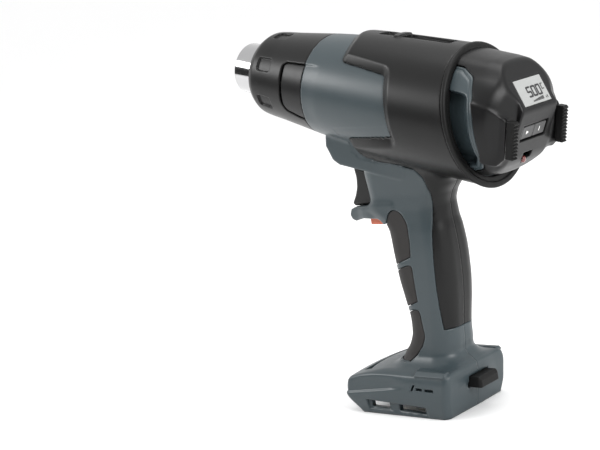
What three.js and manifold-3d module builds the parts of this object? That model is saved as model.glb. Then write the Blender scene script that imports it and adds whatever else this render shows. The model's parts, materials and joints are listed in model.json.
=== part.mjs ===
// Cordless hot-air gun, shown without its battery, as a bench assembly of separate pieces.
// Units are millimetres, +Z is up. The battery shoe stands flat on z = 0 and the origin is the
// middle of the object's footprint box. The nozzle points to -X, the display looks to +X, and the
// gun's left side is at -Y. The head (barrel, nozzle and rear cap) is tipped nose-up on the grip,
// so its pieces are drawn in a head frame whose X axis is the air axis.

import * as THREE from 'three';
import { mergeVertices } from 'three/addons/utils/BufferGeometryUtils.js';
import Module from 'manifold-3d';

const wasm = await Module();
wasm.setup();

// Driving dimensions.
const HEAD_TILT = THREE.MathUtils.degToRad(13);
const HEAD_X = 1.1;
const HEAD_Z = 205.4;
const GAP = 0.3;
const ROUND = 36;

const NOZZLE_FRONT = -117.3;
const NOZZLE_RADIUS = 17;
const BARREL_FRONT = -43.6;
const BARREL_REAR = 92;
const HOOD_FRONT = 75.7;
const HOOD_REAR = 79;
const HOOD_LEAN = -16;
const SHELL_WALL = 2.4;
const COVER_STEP = 3.9;

const SKIN = 1.9;
const TRIGGER_TRAVEL = 5;
const BASE_HALF_WIDTH = 33.5;
const BASE_TOP = 31;

// ---------------------------------------------------------------- geometry helpers

const headMatrix = new THREE.Matrix4()
  .makeTranslation(HEAD_X, 0, HEAD_Z)
  .multiply(new THREE.Matrix4().makeRotationY(HEAD_TILT));

// A frame on the head whose X axis leans by an angle: its X is a panel's outward normal.
function panelFrame(x, z, degrees) {
  return headMatrix
    .clone()
    .multiply(new THREE.Matrix4().makeTranslation(x, 0, z))
    .multiply(new THREE.Matrix4().makeRotationY(THREE.MathUtils.degToRad(degrees)));
}

function signedVolume(position, index) {
  const a = new THREE.Vector3();
  const b = new THREE.Vector3();
  const c = new THREE.Vector3();
  let volume = 0;
  for (let i = 0; i < index.length; i += 3) {
    a.fromArray(position, 3 * index[i]);
    b.fromArray(position, 3 * index[i + 1]);
    c.fromArray(position, 3 * index[i + 2]);
    volume += a.dot(b.cross(c));
  }
  return volume;
}

// Turns a closed three.js geometry into a solid, placed by a matrix, faces pointing out.
function solid(geometry, matrix = new THREE.Matrix4()) {
  const placed = geometry.clone().applyMatrix4(matrix);
  placed.deleteAttribute('normal');
  placed.deleteAttribute('uv');
  const merged = mergeVertices(placed, 1e-4);
  const points = merged.attributes.position.array;
  const triangles = [];
  for (let i = 0; i < merged.index.count; i += 3) {
    const corner = [0, 1, 2].map((k) => merged.index.array[i + k]);
    if (new Set(corner).size === 3) triangles.push(...corner);
  }
  if (signedVolume(points, triangles) < 0) triangles.reverse();
  return new wasm.Manifold(
    new wasm.Mesh({
      numProp: 3,
      vertProperties: new Float32Array(points),
      triVerts: new Uint32Array(triangles),
    }),
  );
}

function box(x0, x1, y0, y1, z0, z1, matrix) {
  const geometry = new THREE.BoxGeometry(x1 - x0, y1 - y0, z1 - z0);
  geometry.translate((x0 + x1) / 2, (y0 + y1) / 2, (z0 + z1) / 2);
  return solid(geometry, matrix);
}

// A profile of [x, radius] points turned about the X axis.
function revolve(profile, matrix, segments = ROUND) {
  const points = profile.map(([x, radius]) => new THREE.Vector2(radius, x));
  const geometry = new THREE.LatheGeometry(points, segments);
  geometry.rotateZ(-Math.PI / 2);
  return solid(geometry, matrix);
}

// A closed [x, radius] wall line: the outer line out, the inner line back.
function tube(outer, inner, matrix, segments = ROUND) {
  return revolve([...outer, ...[...inner].reverse(), outer[0]], matrix, segments);
}

// A solid of revolution standing on the axis.
function turned(outer, matrix, segments = ROUND) {
  const first = [outer[0][0], 0];
  const last = [outer[outer.length - 1][0], 0];
  return revolve([first, ...outer, last], matrix, segments);
}

// A side outline of [x, z] points, given a width from y0 to y1.
function slab(outline, y0, y1, matrix) {
  const shape = new THREE.Shape(outline.map(([x, z]) => new THREE.Vector2(x, z)));
  const geometry = new THREE.ExtrudeGeometry(shape, { depth: y1 - y0, bevelEnabled: false });
  geometry.rotateX(Math.PI / 2);
  geometry.translate(0, y1, 0);
  return solid(geometry, matrix);
}

// A side outline with rounded long edges, centred on y = 0.
function softSlab(outline, halfWidth, bevel, matrix) {
  const shape = new THREE.Shape(outline.map(([x, z]) => new THREE.Vector2(x, z)));
  const geometry = new THREE.ExtrudeGeometry(shape, {
    depth: 2 * (halfWidth - bevel),
    bevelThickness: bevel,
    bevelSize: bevel,
    bevelOffset: -bevel,
    bevelSegments: 2,
  });
  geometry.rotateX(Math.PI / 2);
  geometry.translate(0, halfWidth - bevel, 0);
  return solid(geometry, matrix);
}

function pin(radius, from, to, segments = 16) {
  const start = new THREE.Vector3(...from);
  const span = new THREE.Vector3(...to).sub(start);
  const geometry = new THREE.CylinderGeometry(radius, radius, span.length(), segments);
  geometry.translate(0, span.length() / 2, 0);
  const turn = new THREE.Quaternion().setFromUnitVectors(
    new THREE.Vector3(0, 1, 0),
    span.normalize(),
  );
  geometry.applyQuaternion(turn);
  geometry.translate(start.x, start.y, start.z);
  return geometry;
}

// A closed solid through a stack of rings that all have the same number of points.
function loft(rings, matrix) {
  const count = rings[0].length;
  const positions = rings.flat().flatMap((point) => [point.x, point.y, point.z]);
  const index = [];
  for (let r = 0; r + 1 < rings.length; r += 1) {
    for (let i = 0; i < count; i += 1) {
      const a = r * count + i;
      const b = r * count + ((i + 1) % count);
      index.push(a, b, b + count, a, b + count, a + count);
    }
  }
  for (const ring of [0, rings.length - 1]) {
    const centre = new THREE.Vector3();
    rings[ring].forEach((point) => centre.add(point));
    centre.divideScalar(count);
    const hub = positions.length / 3;
    positions.push(centre.x, centre.y, centre.z);
    for (let i = 0; i < count; i += 1) {
      const a = ring * count + i;
      const b = ring * count + ((i + 1) % count);
      index.push(...(ring === 0 ? [b, a, hub] : [a, b, hub]));
    }
  }
  const geometry = new THREE.BufferGeometry();
  geometry.setAttribute('position', new THREE.Float32BufferAttribute(positions, 3));
  geometry.setIndex(index);
  return solid(geometry, matrix);
}

// A level ring with four rounded corners.
function levelRing(z, front, back, halfWidth, frontRadius, backRadius, steps = 4) {
  const corners = [
    [back - backRadius, halfWidth - backRadius, backRadius, 0],
    [front + frontRadius, halfWidth - frontRadius, frontRadius, 1],
    [front + frontRadius, frontRadius - halfWidth, frontRadius, 2],
    [back - backRadius, backRadius - halfWidth, backRadius, 3],
  ];
  const ring = [];
  for (const [cx, cy, radius, quarter] of corners) {
    for (let i = 0; i <= steps; i += 1) {
      const angle = ((quarter + i / steps) * Math.PI) / 2;
      ring.push(
        new THREE.Vector3(cx + radius * Math.cos(angle), cy + radius * Math.sin(angle), z),
      );
    }
  }
  return ring;
}

// An upright ring across the head: a superellipse with its own top and bottom heights.
function crossRing(x, halfWidth, top, bottom, power, count = 32) {
  const middle = (top + bottom) / 2;
  const halfHeight = (top - bottom) / 2;
  const ring = [];
  for (let i = 0; i < count; i += 1) {
    const angle = (2 * Math.PI * i) / count;
    const c = Math.cos(angle);
    const s = Math.sin(angle);
    ring.push(
      new THREE.Vector3(
        x,
        halfWidth * Math.sign(c) * Math.abs(c) ** (2 / power),
        middle + halfHeight * Math.sign(s) * Math.abs(s) ** (2 / power),
      ),
    );
  }
  return ring;
}

function join(parts) {
  return parts.reduce((whole, part) => whole.add(part));
}

function cut(whole, tools) {
  return tools.reduce((rest, tool) => rest.subtract(tool), whole);
}

// Everything behind the leaning plane that crosses the air axis at x.
function behind(x) {
  return box(0, 80, -70, 70, -90, 90, panelFrame(x, 0, HOOD_LEAN));
}

function half(whole, side) {
  const reach = 400;
  const near = GAP / 2;
  const keep = side < 0 ? box(-reach, reach, -reach, -near, -reach, reach)
    : box(-reach, reach, near, reach, -reach, reach);
  return whole.intersect(keep);
}

// ---------------------------------------------------------------- scene graph

const finishes = {
  greyPlastic: { color: 0x4b5558, roughness: 0.5, metalness: 0 },
  blackRubber: { color: 0x242424, roughness: 0.62, metalness: 0 },
  blackPlastic: { color: 0x1c1c1c, roughness: 0.45, metalness: 0 },
  softPad: { color: 0x3a3836, roughness: 0.8, metalness: 0 },
  chromeSteel: { color: 0xc8c8c8, roughness: 0.15, metalness: 1 },
  steel: { color: 0x8f9296, roughness: 0.35, metalness: 1 },
  orangePlastic: { color: 0xcd6e50, roughness: 0.45, metalness: 0 },
  displayGlass: { color: 0xc8c8c6, roughness: 0.2, metalness: 0 },
  redLens: { color: 0x7a2a26, roughness: 0.2, metalness: 0 },
  ceramic: { color: 0xe6e0d2, roughness: 0.8, metalness: 0 },
  mica: { color: 0xb59a68, roughness: 0.5, metalness: 0 },
  circuitBoard: { color: 0x1f5a37, roughness: 0.5, metalness: 0 },
  brass: { color: 0xb8923c, roughness: 0.35, metalness: 1 },
  redWire: { color: 0x9a1f1c, roughness: 0.5, metalness: 0 },
};

const assembly = new THREE.Group();

function place(name, finish, part) {
  const mesh = part.getMesh();
  const geometry = new THREE.BufferGeometry();
  geometry.setAttribute('position', new THREE.BufferAttribute(mesh.vertProperties, 3));
  geometry.setIndex(new THREE.BufferAttribute(mesh.triVerts, 1));
  geometry.computeVertexNormals();
  const object = new THREE.Mesh(geometry, new THREE.MeshStandardMaterial(finishes[finish]));
  object.name = name;
  assembly.add(object);
}

// ---------------------------------------------------------------- outer forms

// Grip stations from the battery shoe up into the barrel: height, front, back, half width.
const gripStations = [
  [24, -12, 37, 22],
  [33, -9, 34.5, 20.5],
  [38, -6.5, 33.5, 19],
  [44, -2.2, 34.6, 18.2],
  [52, 0.8, 36.6, 18],
  [62, 1.6, 38.8, 18.3],
  [74, 0.2, 41, 18.8],
  [88, -1.9, 42.2, 19],
  [104, -3.2, 42.2, 18.8],
  [118, -4.6, 40.2, 18],
  [126, -9, 38.2, 17],
  [134, -18, 37.2, 16.4],
  [141, -18, 39.4, 16.4],
  [148, -18, 46, 17],
  [156, -18, 50, 18],
  [180, -16, 46, 20],
];

function grip(inset) {
  const rings = gripStations.map(([z, front, back, halfWidth]) => {
    const frontRadius = Math.max(12 - inset, 3);
    const backRadius = Math.max(14 - inset, 3);
    return levelRing(
      z, front + inset, back - inset, halfWidth - inset, frontRadius, backRadius,
    );
  });
  return loft(rings);
}

// The neck over the trigger, drawn in the head frame, ends in a blunt nose.
function neck(inset) {
  const outline = [
    [-35.5 + inset, -30],
    [-34.6 + inset, -36.5 + inset / 2],
    [-28.6 + inset, -44.6 + inset],
    [-23 + inset, -47 + inset],
    [26, -47.4 + inset],
    [26, -26],
    [-30, -26],
  ];
  return softSlab(outline, 16.5 - inset, 2, headMatrix);
}

// The finger hook under the trigger.
function hook() {
  const outline = [
    [2, 134.6],
    [-18, 134.3],
    [-30, 133.4],
    [-36.4, 131.8],
    [-38.3, 128.8],
    [-36.6, 125.8],
    [-33.4, 124.7],
    [-28.8, 125.9],
    [-24, 127],
    [-8, 127.2],
    [-2, 122],
    [2, 122],
  ];
  return softSlab(outline, 9.5, 2);
}

// Battery shoe stations: height, front, back, half width.
const shoeStations = [
  [0, -38, 35.5, 30.5],
  [2, -40, 36.2, 31.3],
  [12.5, -48, 38.2, BASE_HALF_WIDTH],
  [14, -46, 38.5, 32.4],
  [16, -46, 38.8, 32.9],
  [25, -44.5, 40.4, 32.2],
  [29, -41.5, 40.4, 30],
  [BASE_TOP, -37, 38.5, 26.5],
];

function shoe(inset) {
  return loft(shoeStations.map(([z, front, back, halfWidth]) => (
    levelRing(z, front + inset, back - inset, halfWidth - inset, 9 - inset, 5 - inset / 3)
  )));
}

// Outer lines of the barrel shell and of the thicker black cover around it: [x, radius].
const barrelLine = [[BARREL_FRONT, 33.3], [-25, 34.9], [0, 36.2], [36, 37.2], [BARREL_REAR, 38.4]];

function barrelOffset(offset) {
  return barrelLine.map(([x, radius]) => [x, radius + offset]);
}

// Front edge of the cover and its lower edge down to the palm, in the head frame and grip frame.
const coverFront = [
  [-24, 60],
  [-24, 33.5],
  [-15.5, 28.5],
  [-12, 24.8],
  [21.5, 20.5],
  [24, 18.5],
  [27.5, 6],
  [31, -12],
  [30, -15.5],
  [-6.5, -21.5],
  [-12.5, -33],
  [-12.5, -60],
  [BARREL_REAR, -60],
  [BARREL_REAR, 60],
];

const palmZone = [
  [33.3, 52],
  [70, 52],
  [70, 190],
  [-22, 190],
  [-16.5, 173.2],
  [-13, 168.4],
  [10, 163.4],
  [24, 157.5],
  [31, 151],
  [34.6, 143],
  [34.2, 134],
  [34.9, 126],
  [36.6, 118],
  [38, 104],
  [38, 88],
  [36.8, 74],
  [35.2, 62],
];

const PAD_SLOPE = 0.38;
const PAD_BACK = 15.6;

// Side outline of one finger pad: its upper and lower edges rise towards the palm.
function padOutline([bottom, top], slack) {
  const front = -20;
  const lift = (x) => PAD_SLOPE * (x - PAD_BACK);
  return [
    [front, bottom + lift(front) - slack],
    [PAD_BACK + slack, bottom + lift(PAD_BACK) - slack],
    [PAD_BACK + slack, top + lift(PAD_BACK) - 6],
    [PAD_BACK - 3, top + lift(PAD_BACK - 3) - 1 + slack],
    [PAD_BACK - 6, top + lift(PAD_BACK - 6) + slack],
    [front, top + lift(front) + slack],
  ];
}

// The top pad ends under the hook in a round shoulder.
function topPadOutline(slack) {
  return [
    [-20, 89.7 - slack],
    [PAD_BACK + slack, 103.2 - slack],
    [PAD_BACK + 1.4 + slack, 112],
    [PAD_BACK + slack, 121],
    [10, 127.4 + slack],
    [3, 127.4 + slack],
    [-2, 123 + slack],
    [-20, 120 + slack],
  ];
}

const padZones = (slack) => [
  padOutline([45.5, 69.8], slack),
  padOutline([73.8, 99], slack),
  topPadOutline(slack),
].map((outline) => slab(outline, -40, 40));

// ---------------------------------------------------------------- openings and fasteners

const slotHeight = [3.6, 8.4];
const slotRuns = [[-27, -10.5], [-3.5, 18.5]];

const screwSpots = [
  [22, 54, 15],
  [24, 108, 15],
  [6, 166, 15],
  [-24, 25.4, 24],
  [31, 25.4, 24],
];
const SCREW_HEAD_DEPTH = 7;

function screwBosses() {
  return screwSpots.map(([x, z, reach]) => solid(pin(3.9, [x, -reach, z], [x, reach, z])));
}

function screwHoles() {
  return screwSpots.flatMap(([x, z, reach]) => [
    solid(pin(1.75, [x, -8, z], [x, 40, z], 12)),
    solid(pin(3, [x, reach - SCREW_HEAD_DEPTH, z], [x, 45, z], 12)),
  ]);
}

function baseSlots() {
  return [-1, 1].flatMap((side) => slotRuns.map(([x0, x1]) => {
    const y = [side * 27, side * 45].sort((a, b) => a - b);
    return box(x0, x1, y[0], y[1], slotHeight[0], slotHeight[1]);
  }));
}

// ---------------------------------------------------------------- housing and cover

const palmCut = slab(palmZone.map(([x, z]) => [x - GAP, z - GAP]), -40, 40);
const palmSolid = slab(palmZone, -40, 40);

function coverTurned(offset) {
  return turned(barrelOffset(COVER_STEP + offset), headMatrix);
}

function coverZone(slack) {
  return slab(coverFront.map(([x, z]) => [x - slack, z]), -60, 60, headMatrix);
}

function buildShells() {
  const greySkin = cut(grip(0), [
    palmCut,
    ...padZones(GAP),
    coverTurned(GAP).intersect(coverZone(GAP)),
  ]);
  const outer = join([
    greySkin,
    grip(SKIN + GAP),
    neck(0),
    hook(),
    shoe(0),
    turned(barrelLine, headMatrix).subtract(behind(HOOD_REAR - 1)),
  ]);
  const barrelBore = turned(
    [[BARREL_FRONT - 5, 30.4], [-24, 30.4], [-22, 32.2], [BARREL_REAR + 5, 35.2]],
    headMatrix,
  );
  const batteryBay = loft([
    levelRing(-5, -70, 31, 27.2, 2, 3),
    levelRing(21, -70, 34, 27.2, 2, 3),
  ]);
  const bayRoof = loft([
    levelRing(20, -36, 34, 24, 2, 3),
    levelRing(27.6, -34, 34, 23, 2, 3),
  ]);
  const hollow = [
    barrelBore, grip(SKIN + GAP + SHELL_WALL), neck(SHELL_WALL), batteryBay, bayRoof,
  ];
  const bossRoots = join(screwBosses()).intersect(outer).subtract(barrelBore);
  const rails = [-1, 1].map((side) => {
    const [y0, y1] = [side * 24, side * 29].sort((a, b) => a - b);
    return box(-38, 30, y0, y1, 10, 13);
  });
  const triggerSlot = slab([
    [-40, 134.2], [-4, 134.2], [-4, 157.7], [-12, 159.2], [-18, 160.6], [-40, 160.6],
  ], -9, 9);
  const lockSlot = box(-24.1, -12.7, -6.4, 6.4, 118, 131.6);
  return cut(
    join([cut(outer, hollow), bossRoots, ...rails]),
    [...screwHoles(), ...baseSlots(), triggerSlot, lockSlot, rearBlockSeat()],
  );
}

function rearBlockSeat() {
  return box(34, 60, -10.3, 10.3, 14.9, 22.8);
}

// Two pockets along the top of the cover leave a narrow bridge between them.
function topPockets() {
  return [[-3, 9.5], [15, 53]].map(([x0, x1]) => (
    box(x0, x1, -6, 6, 38.2, 50, headMatrix)
  ));
}

function buildCover() {
  const skin = join([
    coverTurned(0).intersect(coverZone(0)),
    grip(0).intersect(palmSolid),
  ]);
  return cut(skin, [
    turned([[-90, 34], ...barrelOffset(GAP), [BARREL_REAR + 5, 38.8]], headMatrix),
    grip(SKIN),
    neck(-GAP),
    behind(HOOD_FRONT - GAP / 2),
    ...screwHoles(),
    ...topPockets(),
  ]);
}

const shells = buildShells();
place('shell_left', 'greyPlastic', half(shells, -1));
place('shell_right', 'greyPlastic', half(shells, 1));

const cover = buildCover();
place('cover_left', 'blackRubber', half(cover, -1));
place('cover_right', 'blackRubber', half(cover, 1));

const padNames = ['finger_pad_lower', 'finger_pad_middle', 'finger_pad_upper'];
padZones(0).forEach((zone, level) => {
  place(padNames[level], 'softPad', grip(0).intersect(zone).subtract(grip(SKIN)));
});

place('rear_foot_block', 'blackRubber', box(38.5, 49.5, -9.9, 9.9, 15.3, 22.4));

screwSpots.forEach(([x, z, reach], number) => {
  const head = solid(pin(2.6, [x, reach - SCREW_HEAD_DEPTH + GAP, z],
    [x, reach - SCREW_HEAD_DEPTH + 2.6, z], 12));
  const shank = solid(pin(1.4, [x, -7.5, z], [x, reach - SCREW_HEAD_DEPTH + 1, z], 12));
  place(`housing_screw_${number + 1}`, 'steel', head.add(shank));
});

// ---------------------------------------------------------------- nozzle end

const guardLine = [
  [-100.5, 19.4],
  [-98.8, 22.4],
  [-95.6, 25.6],
  [-91, 28],
  [BARREL_FRONT - GAP, 33.2],
];
const GUARD_WALL = 2;
const DIMPLES = 7;
const DIMPLE_START = THREE.MathUtils.degToRad(14);

// Shallow pockets around the guard's shoulder.
function guardDimples() {
  const dimple = new THREE.BoxGeometry(12, 9.5, 3);
  return Array.from({ length: DIMPLES }, (_, step) => {
    const turn = DIMPLE_START + (2 * Math.PI * step) / DIMPLES;
    const around = new THREE.Matrix4().makeRotationX(turn);
    const out = new THREE.Matrix4().makeTranslation(-81, 0, 29.9);
    return solid(dimple, headMatrix.clone().multiply(around).multiply(out));
  });
}

// The rear edge of the guard is open on the left side, where the collar's tongue shows.
const notchOutline = (slack) => [
  [-63.4 - slack, 13.2 + slack],
  [-60.5, 16.4 + slack],
  [-20, 17.4 + slack],
  [-20, -19 - slack],
  [-59.5, -16.4 - slack],
  [-63.4 - slack, -11.4 - slack],
];

function guardNotch(slack) {
  return slab(notchOutline(slack), -60, -14, headMatrix);
}

function buildGuard() {
  const inner = guardLine.map(([x, radius]) => [x + 0.4, Math.max(radius - GUARD_WALL, 18)]);
  inner[inner.length - 1][0] = guardLine[guardLine.length - 1][0];
  return cut(tube(guardLine, inner, headMatrix), [...guardDimples(), guardNotch(GAP)]);
}

function buildCollar() {
  const ring = tube([[-58, 29.2], [-24.5, 29.9]], [[-58, 27.4], [-24.5, 27.4]], headMatrix);
  const tongue = tube(
    [[-64, 30.6], [BARREL_FRONT - GAP, 32.4]],
    [[-64, 28.4], [BARREL_FRONT - GAP, 28.4]],
    headMatrix,
  ).intersect(guardNotch(0));
  return ring.add(tongue);
}

place('guard_sleeve', 'blackPlastic', buildGuard());
place('front_collar', 'blackPlastic', buildCollar());

function buildOutletTube() {
  const outer = [
    [NOZZLE_FRONT, 16.4],
    [NOZZLE_FRONT + 0.5, NOZZLE_RADIUS],
    [-34, NOZZLE_RADIUS],
  ];
  return tube(outer, [[NOZZLE_FRONT, 16.2], [-34, 16.2]], headMatrix);
}

place('outlet_tube', 'chromeSteel', buildOutletTube());
place('mica_sleeve', 'mica', tube(
  [[-112, 15.8], [-36, 15.8]], [[-112, 15.1], [-36, 15.1]], headMatrix, 32,
));

// A ribbed ceramic rod: the heating wire lies in the grooves between its ribs.
function buildHeaterCore() {
  const ribs = 8;
  const shape = new THREE.Shape();
  for (let i = 0; i < ribs * 4; i += 1) {
    const angle = (2 * Math.PI * i) / (ribs * 4);
    const radius = i % 4 < 2 ? 14.6 : 8.5;
    const point = [radius * Math.cos(angle), radius * Math.sin(angle)];
    if (i === 0) shape.moveTo(...point);
    else shape.lineTo(...point);
  }
  const bore = new THREE.Path();
  bore.absarc(0, 0, 3, 0, 2 * Math.PI, true);
  shape.holes.push(bore);
  const geometry = new THREE.ExtrudeGeometry(shape, {
    depth: 68, bevelEnabled: false, curveSegments: 8,
  });
  geometry.rotateY(Math.PI / 2);
  geometry.translate(-108, 0, 0);
  return solid(geometry, headMatrix);
}

place('heater_core', 'ceramic', buildHeaterCore());
place('heater_flange', 'steel', tube(
  [[-38, 27], [-35, 27]], [[-38, 17.4], [-35, 17.4]], headMatrix, 32,
));

// ---------------------------------------------------------------- fan and motor

place('air_duct', 'blackPlastic', tube(
  [[-33.4, 18.2], [-24, 22], [-4, 31.4], [18, 31.6]],
  [[-33.4, 16.6], [-24, 20], [-4, 29.6], [18, 30]],
  headMatrix,
  32,
));

const FAN_RADIUS = 28;

function buildImpeller() {
  const hub = tube([[0, 8], [4, 9], [14, 9.6]], [[0, 1.8], [14, 1.8]], headMatrix, 20);
  const disc = tube([[13, FAN_RADIUS], [14.6, FAN_RADIUS]], [[13, 5], [14.6, 5]], headMatrix, 28);
  const blade = new THREE.BoxGeometry(11.5, 1.4, 19.5);
  const blades = [0, 1, 2, 3, 4, 5, 6, 7, 8].map((step) => {
    const around = new THREE.Matrix4().makeRotationX((2 * Math.PI * step) / 9);
    const out = new THREE.Matrix4()
      .makeTranslation(7.6, 0, 17.6)
      .multiply(new THREE.Matrix4().makeRotationZ(0.35));
    return solid(blade, headMatrix.clone().multiply(around).multiply(out));
  });
  return join([hub, disc, ...blades]);
}

place('fan_impeller', 'blackPlastic', buildImpeller());
place('motor_shaft', 'steel', turned([[-1, 1.45], [30, 1.45]], headMatrix, 16));
place('fan_motor', 'steel', tube(
  [[19, 7], [20, 13.8], [51, 13.8], [52, 12]], [[19, 2], [52, 2]], headMatrix, 32,
));

function buildMotorMount() {
  const ring = tube([[22, 31.5], [27, 31.5]], [[22, 28.8], [27, 28.8]], headMatrix, 32);
  const sleeve = tube([[22, 16.4], [27, 16.4]], [[22, 14.1], [27, 14.1]], headMatrix, 32);
  const spoke = new THREE.BoxGeometry(5, 3, 14);
  const spokes = [0, 1, 2, 3].map((step) => {
    const around = new THREE.Matrix4().makeRotationX(Math.PI / 4 + (Math.PI * step) / 2);
    const out = new THREE.Matrix4().makeTranslation(24.5, 0, 22.5);
    return solid(spoke, headMatrix.clone().multiply(around).multiply(out));
  });
  return join([ring, sleeve, ...spokes]);
}

place('motor_mount', 'blackPlastic', buildMotorMount());

// ---------------------------------------------------------------- rear cap and intake

// The hood is a ring between two leaning planes around the rear end of the barrel.
function buildHood() {
  const ring = tube([[50, 42.9], [100, 42.9]], [[50, 39], [100, 39]], headMatrix);
  return ring.intersect(behind(HOOD_FRONT + GAP / 2)).subtract(behind(HOOD_REAR));
}

place('intake_hood', 'blackRubber', buildHood());

// Side outline of the air intake scoop.
const scoopOutline = (slack) => [
  [60, 30 - slack],
  [78, 30 - slack],
  [84.6, 27 - slack],
  [90.5 - slack, 18.7],
  [93.7 - slack, 8.2],
  [96.2 - slack, -5.9],
  [95.6 - slack, -16],
  [90, -25 + slack],
  [78, -28 + slack],
  [60, -28 + slack],
];

function capForm(inset) {
  const body = loft([
    crossRing(60, 38.4 - inset, 38.4 - inset, -38.4 + inset, 2),
    crossRing(70, 38.4 - inset, 38.2 - inset, -38 + inset, 2),
    crossRing(82, 38.8 - inset, 37 - inset, -36 + inset, 2.05),
    crossRing(92, 38.6 - inset, 36 - inset, -32.5 + inset, 2.1),
    crossRing(100, 36.6 - inset, 34.6 - inset, -29.5 + inset, 2.2),
    crossRing(105.5 - inset / 2, 31.5 - inset, 31 - inset, -27.6 + inset, 2.4),
    crossRing(108 - inset, 27 - inset, 27 - inset, -24 + inset, 2.5),
  ], headMatrix);
  const block = loft([
    crossRing(94, 19.5 - inset, 35.6 - inset, -29 + inset, 5),
    crossRing(108, 18.5 - inset, 34 - inset, -27.4 + inset, 5),
    crossRing(124, 16.5 - inset, 30 - inset, -26 + inset, 5),
  ], headMatrix);
  return body.add(block);
}

const displayFrame = panelFrame(109.4, 20.15, -36);
const keyFrame = panelFrame(112.05, -3.8, 15);

// The rear face: a sloping display panel over an upright key panel and an undercut chin.
function rearFaceCuts(inset) {
  return [
    box(-inset, 60, -60, 60, -60, 60, displayFrame),
    box(-inset, 60, -60, 60, -60, 60, keyFrame),
    box(-inset, 60, -60, 60, -60, 60, panelFrame(104.5, -24.5, 42)),
  ];
}

// Side ears carry the two ribbed stand feet.
function ear(side) {
  const outline = [
    [94, 9],
    [98, 13],
    [109.5, 8.5],
    [111.2, 7],
    [111.2, -16],
    [106, -20.5],
    [100.5, -19],
    [94, -9],
  ];
  const lean = new THREE.Matrix4()
    .makeTranslation(101.6, side * 31.2, 0)
    .multiply(new THREE.Matrix4().makeRotationZ(-side * THREE.MathUtils.degToRad(24)))
    .multiply(new THREE.Matrix4().makeTranslation(-101.6, 0, 0));
  const shape = new THREE.Shape(outline.map(([x, z]) => new THREE.Vector2(x, z)));
  const geometry = new THREE.ExtrudeGeometry(shape, { depth: 3.4, bevelEnabled: false });
  geometry.rotateX(Math.PI / 2);
  geometry.translate(0, 1.7, 0);
  return solid(geometry, headMatrix.clone().multiply(lean));
}

const KEY_HALF_WIDTH = 12.3;
const KEY_HALF_HEIGHT = 4.05;

function buildCap() {
  const shape = join([cut(capForm(0), rearFaceCuts(0)), ear(-1), ear(1)]);
  const cavity = cut(capForm(2.3), rearFaceCuts(2.4));
  const sides = [-1, 1].map((side) => {
    const [y0, y1] = [side * 20, side * 60].sort((a, b) => a - b);
    return slab(scoopOutline(0), y0, y1, headMatrix);
  });
  return cut(shape.intersect(behind(HOOD_REAR - 2 * GAP)), [
    cavity,
    ...sides,
    box(-1.5, 5, -14.2, 14.2, -8.7, 8.7, displayFrame),
    box(-6, 5, -KEY_HALF_WIDTH - GAP, KEY_HALF_WIDTH + GAP,
      -KEY_HALF_HEIGHT - GAP, KEY_HALF_HEIGHT + GAP, keyFrame),
    box(-6, 5, -4.6, 4.6, -18.5, -14, keyFrame),
    solid(pin(2.3, [98, 0, -22.6], [112, 0, -22.6], 12), headMatrix),
  ]);
}

function buildScoop(side) {
  const wall = tube(
    [[66, 32.4], [76, 33], [84, 35.6], [92, 38.2], [101, 39.4]],
    [[66, 30.8], [76, 31.4], [84, 34], [92, 36.6], [101, 37.8]],
    headMatrix,
  );
  const [y0, y1] = [side * 20.4, side * 60].sort((a, b) => a - b);
  return wall
    .intersect(slab(scoopOutline(GAP), y0, y1, headMatrix))
    .intersect(behind(HOOD_REAR - 2 * GAP));
}

place('rear_cap', 'blackPlastic', buildCap());
place('intake_scoop_left', 'greyPlastic', buildScoop(-1));
place('intake_scoop_right', 'greyPlastic', buildScoop(1));

// Rubber stand feet with level ribs.
function buildStandFoot(side) {
  const ribs = 11;
  const bottom = -15.5;
  const pitch = (7.3 - bottom) / ribs;
  const outline = [[111.5, 7.3], [111.5, bottom]];
  for (let i = 0; i < ribs; i += 1) {
    const z = bottom + i * pitch;
    outline.push([116.6, z], [117.3, z + 0.3], [117.3, z + pitch - 0.6], [116.6, z + pitch - 0.3]);
  }
  outline.push([116.6, 7.3]);
  const [y0, y1] = [side * 23.9, side * 29.2].sort((a, b) => a - b);
  return slab(outline, y0, y1, headMatrix);
}

place('stand_foot_left', 'blackRubber', buildStandFoot(-1));
place('stand_foot_right', 'blackRubber', buildStandFoot(1));

place('display_window', 'displayGlass', box(-1.2, 0, -13.9, 13.9, -8.35, 8.35, displayFrame));
place('status_lens', 'redLens', solid(pin(2, [103.6, 0, -22.6], [107.2, 0, -22.6], 12), headMatrix));
place('display_board', 'circuitBoard', box(98, 99.6, -14, 14, -14, 24, headMatrix));

// ---------------------------------------------------------------- keys, trigger and lock

const KEY_FACE = -0.5;
const KEY_DEPTH = 4;
const keyWidths = { mode_key: [-KEY_HALF_WIDTH, -0.2], minus_key: [0.2, KEY_HALF_WIDTH] };

for (const [name, [y0, y1]] of Object.entries(keyWidths)) {
  place(name, 'blackPlastic', box(
    KEY_FACE - KEY_DEPTH, KEY_FACE, y0, y1, -KEY_HALF_HEIGHT, KEY_HALF_HEIGHT, keyFrame,
  ));
}

const triggerOutline = [
  [-29.5, 161.6],
  [-28.4, 154],
  [-29.2, 148],
  [-31.4, 142.4],
  [-34.6, 137],
  [-33.6, 134.8],
  [-19, 135.2],
  [-10, 135.4],
  [-10, 154.5],
  [-18, 157.4],
];

place('trigger', 'blackPlastic', softSlab(triggerOutline, 8.6, 1.5));
place('trigger_switch', 'blackPlastic', box(
  -10 + TRIGGER_TRAVEL + GAP, 13, -8.5, 8.5, 136, 154,
));
place('lock_button', 'orangePlastic', box(-23.6, -13.2, -6, 6, 121.5, 128.6));

// ---------------------------------------------------------------- electrics in grip and shoe

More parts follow.
